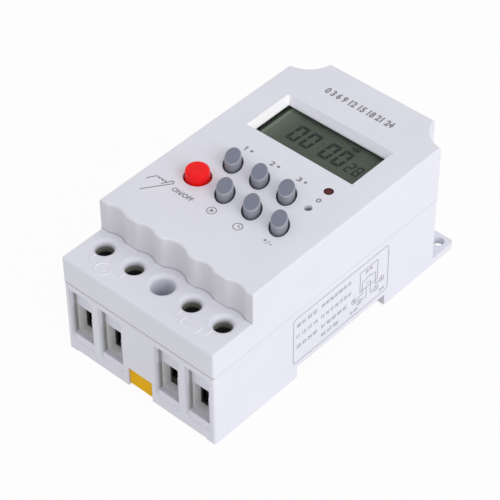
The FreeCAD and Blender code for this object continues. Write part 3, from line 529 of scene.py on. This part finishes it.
dress(metal_finish("tinned_clip", (0.60, 0.59, 0.56), 0.32, 0.2, (5, 1, 1), (0.42, 0.38, 0.32)),
      ["battery_clip"])
dress(moulded_finish("relay_case", (0.03, 0.09, 0.30), 0.38, 0.5, 0.01), ["power_relay"])
dress(moulded_finish("dropper_case", (0.52, 0.36, 0.02), 0.42, 0.6, 0.012), ["dropper_capacitor"])
dress(sleeve_finish(), ["smoothing_capacitor"])
dress(moulded_finish("varistor_coat", (0.02, 0.10, 0.38), 0.3, 0.5, 0.02), ["varistor"])
dress(ribbon_finish(), ["ribbon_cable"])

panel_ink = ink_finish("grey_ink", (0.22, 0.22, 0.24))
label_ink = ink_finish("label_ink", (0.45, 0.45, 0.48))
segment_ink = ink_finish("dark_segments", (0.004, 0.008, 0.013))
faint_ink = ink_finish("faint_segments", (0.032, 0.040, 0.030))


def mitred(points, width, closed):
    """The two edges of a line of one width, mitred where it bends."""
    points = [Vector(point) for point in points]
    edges = []
    for index, point in enumerate(points):
        ways = []
        if closed or index > 0:
            ways.append((point - points[index - 1]).normalized())
        if closed or index < len(points) - 1:
            ways.append((points[(index + 1) % len(points)] - point).normalized())
        along = sum(ways, Vector((0, 0))).normalized()
        across = Vector((-along.y, along.x))
        square = Vector((-ways[0].y, ways[0].x))
        reach = width / 2 / max(across.dot(square), 0.4)
        edges.append((point + across * reach, point - across * reach))
    return edges


def arc(centre, radius, start, end, steps):
    """Points round a centre, between two angles in degrees."""
    points = []
    for step in range(steps + 1):
        angle = math.radians(start + (end - start) * step / steps)
        points.append((centre[0] + radius * math.cos(angle), centre[1] + radius * math.sin(angle)))
    return points


def rounded_box(left, bottom, right, top, radius):
    """The outline of a box with round corners."""
    points = []
    corners = ((right - radius, top - radius, 0), (left + radius, top - radius, 90),
               (left + radius, bottom + radius, 180), (right - radius, bottom + radius, 270))
    for x, y, start in corners:
        points += arc((x, y), radius, start, start + 90, 6)
    return points


def meshed(curve):
    """The mesh of a curve, which is deleted."""
    holder = bpy.data.objects.new("curve", curve)
    bpy.context.scene.collection.objects.link(holder)
    bpy.context.view_layer.update()
    mesh = bpy.data.meshes.new_from_object(holder.evaluated_get(bpy.context.evaluated_depsgraph_get()))
    bpy.data.objects.remove(holder)
    bpy.data.curves.remove(curve)
    return mesh


class Drawing:
    """Marks on one flat face, given in millimetres along it, as thin closed solids.

    They stand out of the face by the rise and reach into it by the sink.
    """

    sink = 0.04

    def __init__(self, origin, across, up, rise):
        self.origin = Vector(origin)
        self.across = Vector(across)
        self.up = Vector(up)
        self.out = self.across.cross(self.up)
        self.rise = rise
        self.mesh = bmesh.new()

    def spot(self, along, upward, out):
        """The place in the frame of a point on the drawing."""
        return self.origin + (self.across * along + self.up * upward + self.out * out) * mm

    def solid(self, faces):
        """Closes flat faces, given as corner lists that share corners, into thin solids."""
        corners = {}
        levels = (-self.sink, self.rise)
        used = {}

        def corner(point, level):
            key = (round(point[0], 5), round(point[1], 5), level)
            if key not in corners:
                corners[key] = self.mesh.verts.new(self.spot(point[0], point[1], levels[level]))
            return corners[key]

        for face in faces:
            self.mesh.faces.new([corner(point, 1) for point in face])
            self.mesh.faces.new([corner(point, 0) for point in reversed(face)])
            for first, second in zip(face, face[1:] + face[:1]):
                ends = tuple(sorted(((round(first[0], 5), round(first[1], 5)),
                                     (round(second[0], 5), round(second[1], 5)))))
                used.setdefault(ends, []).append((first, second))
        for sides in used.values():
            if len(sides) == 1:
                first, second = sides[0]
                self.mesh.faces.new([corner(first, 0), corner(second, 0),
                                     corner(second, 1), corner(first, 1)])

    def patch(self, corners):
        """One flat shape."""
        self.solid([[tuple(corner) for corner in corners]])

    def stroke(self, points, width, closed=False):
        """A line of one width."""
        edges = mitred(points, width, closed)
        faces = []
        ends = edges[1:] + (edges[:1] if closed else [])
        for (first_left, first_right), (left, right) in zip(edges, ends):
            faces.append([tuple(first_right), tuple(right), tuple(left), tuple(first_left)])
        self.solid(faces)

    def ring(self, centre, radius, width, steps=36):
        self.stroke(arc(centre, radius, 0, 360 - 360 / steps, steps - 1), width, True)

    def words(self, text, left, bottom, right, top, weight):
        """Plain numbers and signs, fitted into a box."""
        curve = bpy.data.curves.new("marks", "FONT")
        curve.body = text
        curve.offset = weight
        curve.resolution_u = 3
        curve.extrude = 0.5
        flat = meshed(curve)
        xs = [vertex.co.x for vertex in flat.vertices]
        ys = [vertex.co.y for vertex in flat.vertices]
        for vertex in flat.vertices:
            along = left + (vertex.co.x - min(xs)) / (max(xs) - min(xs)) * (right - left)
            upward = bottom + (vertex.co.y - min(ys)) / (max(ys) - min(ys)) * (top - bottom)
            vertex.co = self.spot(along, upward, self.rise if vertex.co.z > 0 else -self.sink)
        self.mesh.from_mesh(flat)
        bpy.data.meshes.remove(flat)

    def bead(self, points, radius, closed=False):
        """A raised round-backed line, half sunk in the face."""
        curve = bpy.data.curves.new("bead", "CURVE")
        curve.dimensions = "3D"
        curve.bevel_depth = radius * mm
        curve.bevel_resolution = 2
        curve.use_fill_caps = True
        line = curve.splines.new("POLY")
        line.points.add(len(points) - 1)
        for knot, point in zip(line.points, points):
            knot.co = (*self.spot(point[0], point[1], 0.0), 1.0)
        line.use_cyclic_u = closed
        round_line = meshed(curve)
        self.mesh.from_mesh(round_line)
        bpy.data.meshes.remove(round_line)

    def keep(self, name, finish):
        """Turns the marks into one named piece that rides on the casing."""
        bmesh.ops.recalc_face_normals(self.mesh, faces=self.mesh.faces)
        data = bpy.data.meshes.new(name)
        self.mesh.to_mesh(data)
        self.mesh.free()
        data.materials.append(finish.material)
        piece = bpy.data.objects.new(name, data)
        bpy.context.scene.collection.objects.link(piece)
        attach(piece, "casing")
        return piece


def level_drawing(height, rise=0.02):
    """A drawing on a level face at this height, in metres."""
    return Drawing((0, near_face, height), (1, 0, 0), (0, 1, 0), rise)


def hour_row():
    """A row of plain hours at the display end of the panel."""
    marks = level_drawing(panel_top)
    marks.words("0 3 6 9 12 15 18 21 24", -14.6, 105.4, 14.2, 108.7, 0.045)
    marks.keep("hour_row", panel_ink)


def key_legends():
    """Counts over the upper keys, signs under the lower keys and over the reset pin."""
    marks = level_drawing(panel_top)
    bold = 0.03
    line, wide_line = 0.32, 0.42
    for key, digit in (("day_key", "1"), ("hour_key", "2"), ("minute_key", "3")):
        x, y = middle(key)
        centre, foot, head = x - 1.85, y + 7.2, y + 9.2
        if digit == "1":
            marks.stroke([(centre - 0.5, head - 0.5), (centre + 0.15, head), (centre + 0.15, foot)], 0.44)
        else:
            marks.words(digit, centre - 0.85, foot, centre + 0.85, head + 0.2, bold)
        marks.stroke([(x, y + 8.4), (x + 1.2, y + 8.4)], wide_line)
        marks.stroke([(x + 0.6, y + 7.8), (x + 0.6, y + 9.0)], wide_line)
    radius = 1.55
    x, y = middle("program_key")
    x, y = x + 2.4, y - 8.8
    marks.ring((x, y), radius, line)
    marks.patch([(x - 0.55, y - 0.85), (x + 0.95, y), (x - 0.55, y + 0.85)])
    x, y = middle("clock_key")
    x, y = x + 2.05, y - 8.8
    marks.ring((x, y), radius, line)
    marks.stroke([(x, y + 1.15), (x, y), (x + 0.95, y)], 0.3)
    x, y = middle("recall_key")
    left, low = x + 0.45, y - 8.9
    marks.stroke([(left, low + 1.15), (left + 1.15, low + 1.15)], line)
    marks.stroke([(left + 0.575, low + 0.58), (left + 0.575, low + 1.72)], line)
    marks.stroke([(left + 1.45, low - 0.05), (left + 2.15, low + 1.9)], 0.26)
    marks.stroke([(left + 2.5, low + 0.75), (left + 3.6, low + 0.75)], line)
    x, y = middle("reset_pin")
    marks.words("0", x - 0.65, y + 3.8, x + 1.05, y + 5.9, bold)
    marks.keep("key_legends", panel_ink)


def button_legend():
    """ON/OFF beside the red button, with a plain pointing hand."""
    marks = level_drawing(panel_top)
    marks.words("ON/OFF", -18.8, 36.0, -10.2, 38.0, 0.03)
    width = 0.42
    wrist = [(-28.5, 34.9), (-27.9, 36.3), (-27.0, 37.45)]
    thumb = [(-23.2, 36.2), (-22.6, 37.2), (-22.3, 37.6)]
    finger = [(-22.35, 37.5), (-21.55, 38.95)] + arc((-20.95, 38.75), 0.68, 150, -25, 8) + [(-26.5, 29.9)]
    marks.stroke(wrist, width)
    for knuckle in (-26.23, -24.68, -23.13):
        marks.stroke(arc((knuckle, 37.3), 0.8, 165, 15, 8), width)
    marks.stroke(finger, width)
    marks.stroke(thumb, width)
    marks.keep("button_legend", panel_ink)


def raised_symbols():
    """Moulded signs on the terminal cover: an alternating supply and a fuse, led to their holes."""
    marks = level_drawing(shroud_top)
    size = 0.21
    hole_edge = 7.9
    x, y = -18.8, 4.75
    length, height, steps = 2.8, 0.62, 16
    marks.bead(arc((x, y), 2.75, 0, 350, 35), size, True)
    wave = []
    for step in range(steps + 1):
        turn = step / steps
        wave.append((x + length * (turn - 0.5), y + height * math.sin(2 * math.pi * turn)))
    marks.bead(wave, size)
    marks.bead([(-21.6, 4.9), (-25.3, 4.9), (-25.3, hole_edge)], size)
    marks.bead([(-16.0, 4.9), (-12.2, 4.9), (-12.2, hole_edge)], size)
    marks.bead(rounded_box(15.0, 3.8, 21.8, 6.6, 0.3), size, True)
    marks.bead([(12.1, hole_edge), (12.1, 5.2), (24.9, 5.2), (24.9, hole_edge)], size)
    # The beads get a lighter plastic than the cover: painted highlight on their rounded backs.
    symbols = marks.keep("raised_symbols", casing_finish("symbol_highlight_plastic", (0.87, 0.87, 0.92)))


def wiring_label():
    """A printed frame on the right side, with an hour table and a plain wiring diagram."""
    marks = Drawing((right_side, near_face, 0), (0, 1, 0), (0, 0, 1), 0.015)
    line = 0.22
    bold = 0.004
    half_letter = 0.75
    first_column, second_column = 38.6, 50.6
    marks.stroke(rounded_box(37.0, 7.1, 84.2, 27.0, 1.3), 0.21, True)
    rows = ((23.5, "00 01 02 03", 48.3, "04 05 06 07 08 09 10", 65.0),
            (18.7, "11 12 13 14", 48.6, "15 16 17 18 19 20 21", 65.2),
            (14.1, "22 23 24 00", 48.5, "01 02 03 04 05", 63.1))
    for height, first, first_end, second, second_end in rows:
        low, high = height - half_letter, height + half_letter
        marks.words(first, first_column, low, first_end, high, bold)
        marks.words(second, second_column, low, second_end, high, bold)
    marks.words("06 07 08", second_column, 9.5, 58.9, 11.0, bold)
    marks.stroke([(69.8, 15.6), (78.7, 15.6), (78.7, 24.2), (69.8, 24.2)], line, True)
    marks.words("24", 72.2, 22.2, 76.0, 23.5, bold)
    wires = ([(71.0, 15.6), (71.0, 19.4), (72.6, 19.4), (75.0, 20.3)],
             [(74.9, 19.4), (77.7, 19.4), (77.7, 13.8), (79.6, 13.8)],
             [(73.1, 15.6), (73.1, 11.3), (71.2, 11.3)],
             [(72.9, 17.2), (75.3, 17.2), (75.3, 11.3), (77.0, 11.3)],
             [(71.0, 15.6), (71.0, 13.9), (68.6, 13.9)])
    for wire in wires:
        marks.stroke(wire, line)
    for number, x, y in (("1", 66.9, 13.6), ("2", 69.6, 11.5), ("3", 78.2, 11.6), ("4", 81.0, 13.9)):
        marks.ring((x, y), 1.15, 0.2, 24)
        marks.words(number, x - 0.38, y - 0.62, x + 0.38, y + 0.62, 0.003)
    marks.words("0-24", 65.1, 8.6, 68.9, 9.8, bold)
    marks.words("24", 79.9, 8.5, 82.4, 9.7, bold)
    marks.keep("wiring_label", label_ink)


segments_of = {"0": "abcdef", "2": "abdeg", "8": "abcdefg"}


def show_digit(marks, shape, left, width, height, bar):
    """One seven-segment digit, its bars cut at a slope where they meet."""
    foot = 83.1
    slant = 0.06
    half = bar / 2
    gap = bar * 0.12
    waist = height / 2

    def level_bar(outer, inner):
        return [(gap, outer), (width - gap, outer), (width - gap - bar, inner), (gap + bar, inner)]

    def upright_bar(outer, inner, end, turn):
        return [(outer, end - turn * gap), (outer, waist + turn * gap),
                (inner, waist + turn * (gap + half)), (inner, end - turn * (gap + bar))]

    bars = {"a": level_bar(height, height - bar), "d": level_bar(0, bar),
            "g": [(gap + half, waist), (bar, waist - half), (width - bar, waist - half),
                  (width - gap - half, waist), (width - bar, waist + half), (bar, waist + half)],
            "f": upright_bar(0, bar, height, 1), "b": upright_bar(width, width - bar, height, 1),
            "e": upright_bar(0, bar, 0, -1), "c": upright_bar(width, width - bar, 0, -1)}
    for letter in segments_of[shape]:
        marks.patch([(left + u + v * slant, foot + v) for u, v in bars[letter]])


def display_digits():
    """The hour and minute in large bars, the seconds small, and the day's mark above them."""
    large = level_drawing(cell_top)
    for left in (-12.2, -6.7, 1.3, 6.8):
        show_digit(large, "0", left, 4.1, 8.4, 1.15)
    large.keep("display_digits", segment_ink)
    small = level_drawing(cell_top)
    line = 0.36
    show_digit(small, "2", 12.5, 2.4, 5.0, 0.62)
    show_digit(small, "8", 15.7, 2.4, 5.0, 0.62)
    for step in range(4):
        left = 8.5 + step * 0.75
        small.stroke([(left, 92.5), (left + 0.15, 94.4)], line)
    small.stroke([(8.4, 93.4), (11.0, 93.4)], line)
    small.keep("display_small_digits", segment_ink)
    faint = level_drawing(cell_top, 0.012)
    for low in (86.0, 88.6):
        faint.patch([(-0.6, low), (-0.05, low), (0.0, low + 0.65), (-0.55, low + 0.65)])
    faint.keep("display_faint_bars", faint_ink)


hour_row()
key_legends()
button_legend()
raised_symbols()
wiring_label()
display_digits()


seen_rays = ("Is Camera Ray", "Is Glossy Ray", "Is Transmission Ray")


def studio_floor():
    """A wide pale floor that shows white to the camera and keeps a soft shadow."""
    finish = Finish("studio_floor", (0.86, 0.86, 0.86), 0.9, {"Specular IOR Level": 0.1})
    clouds = finish.grain(400.0, 2.0)
    finish.tint((0.84, 0.84, 0.84), clouds)
    path = finish.tree.nodes.new("ShaderNodeLightPath")
    camera, glossy, through = [Signal(finish, path.outputs[name]) for name in seen_rays]
    amount = finish.maths("MINIMUM", camera + glossy + through, 1.0) * 0.94
    white = finish.node("ShaderNodeEmission", {}, {"Color": (1, 1, 1, 1), "Strength": 1.0})
    paper = Signal(finish, finish.shader.outputs[0])
    finish.output(finish.node("ShaderNodeMixShader", {}, {0: amount, 1: paper, 2: white}))
    shape = bmesh.new()
    bmesh.ops.create_grid(shape, x_segments=2, y_segments=2, size=4.0)
    data = bpy.data.meshes.new("studio_floor")
    shape.to_mesh(data)
    shape.free()
    data.materials.append(finish.material)
    floor = bpy.data.objects.new("studio_floor", data)
    floor.location.z = cad_box[0].z - 0.01 * mm
    bpy.context.scene.collection.objects.link(floor)


def studio_light():
    """Even white surroundings, and one broad soft lamp from the right."""
    world = bpy.data.worlds.new("surroundings")
    bpy.context.scene.world = world
    world.use_nodes = True
    tree = world.node_tree
    sky = tree.nodes["Background"]
    path = tree.nodes.new("ShaderNodeLightPath")
    seen = path.outputs[seen_rays[0]]
    for name in seen_rays[1:]:
        both = tree.nodes.new("ShaderNodeMath")
        both.operation = "MAXIMUM"
        tree.links.new(seen, both.inputs[0])
        tree.links.new(path.outputs[name], both.inputs[1])
        seen = both.outputs[0]
    level = tree.nodes.new("ShaderNodeMapRange")
    brightness = 0.74
    level.inputs["To Min"].default_value = brightness
    level.inputs["To Max"].default_value = 1.0
    tree.links.new(seen, level.inputs["Value"])
    tree.links.new(level.outputs[0], sky.inputs["Strength"])
    sky.inputs["Color"].default_value = (1, 1, 1, 1)
    distance = 1.5
    share = 0.375
    height = math.radians(27)
    lamp = bpy.data.lights.new("soft_lamp", "AREA")
    lamp.shape = "SQUARE"
    lamp.size = 0.9
    lamp.energy = share * math.pi ** 2 * distance ** 2
    holder = bpy.data.objects.new("soft_lamp", lamp)
    toward = Vector((math.cos(height), -0.05, math.sin(height))).normalized()
    holder.location = toward * distance + Vector((0, 0, 0.03))
    holder.rotation_mode = "QUATERNION"
    holder.rotation_quaternion = toward.to_track_quat("Z", "Y")
    bpy.context.scene.collection.objects.link(holder)


def photo_camera():
    """The camera that the photograph's edges give: its place, its turn and its focal length."""
    lens = bpy.data.cameras.new("photo_camera")
    lens.sensor_width = 36.0
    lens.lens = 148.16
    lens.clip_start = 0.05
    lens.clip_end = 20.0
    right = Vector((0.74256, 0.66975, -0.00591))
    up = Vector((-0.45780, 0.51397, 0.72543))
    back = Vector((0.48890, -0.53597, 0.68827))
    holder = bpy.data.objects.new("photo_camera", lens)
    turn = Matrix((right, up, back)).transposed().to_4x4()
    holder.matrix_world = Matrix.Translation((0.3270, -0.3663, 0.4868)) @ turn
    bpy.context.scene.collection.objects.link(holder)
    bpy.context.scene.camera = holder


studio_floor()
studio_light()
photo_camera()
bpy.context.scene.view_settings.view_transform = "Standard"
